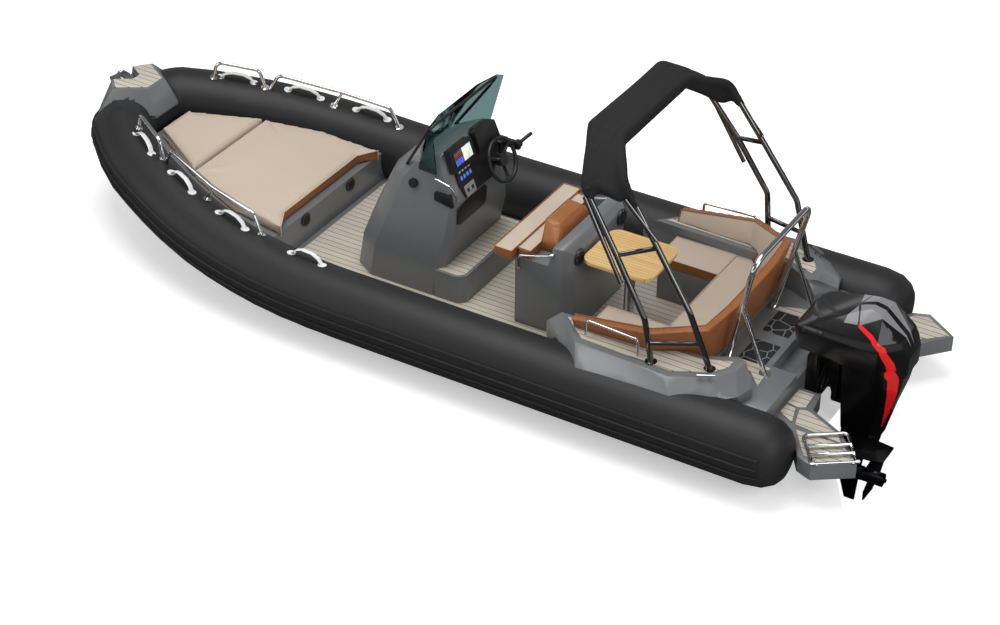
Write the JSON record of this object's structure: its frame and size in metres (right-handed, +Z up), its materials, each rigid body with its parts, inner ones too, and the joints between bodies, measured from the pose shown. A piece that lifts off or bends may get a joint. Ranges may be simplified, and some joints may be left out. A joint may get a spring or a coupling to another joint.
{
  "type": "inflatable rib boat",
  "caption": "Rigid inflatable boat with grey deep-V hull, charcoal tubes, console, sunpad, aft U bench, arch with folded canopy and tilting outboard engine.",
  "frame": {"origin": "amidships on the centreline, at the waterline at rest", "axes": "+X to the bow, +Y to port, +Z up"},
  "size_m": [6.7795, 2.5722, 2.736],
  "materials": {
    "tube_fabric": "satin charcoal coated fabric",
    "strake_rubber": "black ribbed rubber",
    "gelcoat_grey": "mid grey gelcoat, semi gloss",
    "deck_teak": "pale synthetic teak with dark caulking",
    "vinyl_tan": "taupe marine vinyl",
    "vinyl_brown": "brown marine vinyl",
    "stainless": "polished stainless steel",
    "rod_chrome": "hard chromed rod",
    "aluminium_leg": "brushed aluminium",
    "table_wood": "light lacquered wood with dark lines",
    "canvas_dark": "dark grey acrylic canvas",
    "handle_white": "white webbing handle",
    "black_matte": "black grained plastic",
    "display_glass": "dark display glass",
    "tinted_glass": "green blue tinted acrylic",
    "non_skid_black": "black non skid pad",
    "engine_black": "black satin paint",
    "engine_gloss": "gloss black cowling",
    "propeller_steel": "dark polished propeller"
  },
  "bodies": {
    "boat": {"aft_bench": "gelcoat_grey", "arch_frame": "stainless", "bench_backs": "vinyl_brown", "bench_pads": "vinyl_tan", "bow_locker": "gelcoat_grey", "bow_rails": "stainless", "bow_step": "gelcoat_grey", "canopy_arms": "stainless", "canopy_boot": "canvas_dark", "chart_display": "display_glass", "clamp_bracket": "engine_black", "console": "gelcoat_grey", "console_fittings": "black_matte", "control_lever": "black_matte", "dash_panel": "black_matte", "deck_fittings": "stainless", "grab_rails": "stainless", "helm_backrest": "vinyl_brown", "helm_cushion": "vinyl_tan", "helm_seat_base": "gelcoat_grey", "hull": "gelcoat_grey", "ladder_hinge": "stainless", "platforms": "gelcoat_grey", "rub_strakes": "strake_rubber", "side_decks": "gelcoat_grey", "speakers": "black_matte", "sunpads": "vinyl_tan", "table_leg": "aluminium_leg", "table_top": "table_wood", "teak_panels": "deck_teak", "tow_hoop": "stainless", "tube_handles": "handle_white", "tube_port": "tube_fabric", "tube_starboard": "tube_fabric", "well_pads": "non_skid_black", "windscreen": "tinted_glass", "windscreen_rail": "black_matte"},
    "steering_wheel": {"steering_wheel": "black_matte"},
    "ladder": {"boarding_ladder": "stainless"},
    "tilt_unit": {"swivel_bracket": "engine_black"},
    "tilt_barrel": {"tilt_barrel": "engine_black"},
    "tilt_rod": {"tilt_rod": "rod_chrome"},
    "outboard": {"engine_cowl": "engine_gloss", "engine_leg": "engine_black"},
    "propeller": {"propeller": "propeller_steel"}
  },
  "joints": [
    {"name": "outboard_tilt", "type": "hinge", "parent": "boat", "child": "tilt_unit", "pos_m": [-2.8, 0, 0.6], "axis": [0, 1, 0], "range_deg": [-4, 68]},
    {"name": "outboard_steer", "type": "hinge", "parent": "tilt_unit", "child": "outboard", "pos_m": [-2.935, 0, 0.13], "axis": [0, 0, 1], "range_deg": [-30, 30]},
    {"name": "propeller_spin", "type": "hinge", "parent": "outboard", "child": "propeller", "pos_m": [-3.27, 0, -0.4], "axis": [1, 0, 0], "continuous": true},
    {"name": "wheel_turn", "type": "hinge", "parent": "boat", "child": "steering_wheel", "pos_m": [-0.129, -0.19, 1.109], "axis": [-0.9135, 0, 0.4067], "range_deg": [-630, 630]},
    {"name": "ladder_fold", "type": "hinge", "parent": "boat", "child": "ladder", "pos_m": [-3.32287, 0.9485, 0.3775], "axis": [-0.8111, -0.585, 0], "range_deg": [0, 255]},
    {"name": "tilt_barrel_swing", "type": "hinge", "parent": "boat", "child": "tilt_barrel", "pos_m": [-2.815, 0, 0.2], "axis": [0, 1, 0], "range_deg": [-14.5, 1]},
    {"name": "tilt_rod_slide", "type": "slide", "parent": "tilt_barrel", "child": "tilt_rod", "axis": [-0.158, 0, 0.9874], "range_m": [-0.0095, 0.158]}
  ],
  "couplings": [
    {"joint": "wheel_turn", "follows": "outboard_steer", "ratio": 21},
    {"joint": "tilt_barrel_swing", "follows": "outboard_tilt", "ratio": -0.2105},
    {"joint": "tilt_rod_slide", "follows": "outboard_tilt", "m_per_rad": 0.1326}
  ]
}
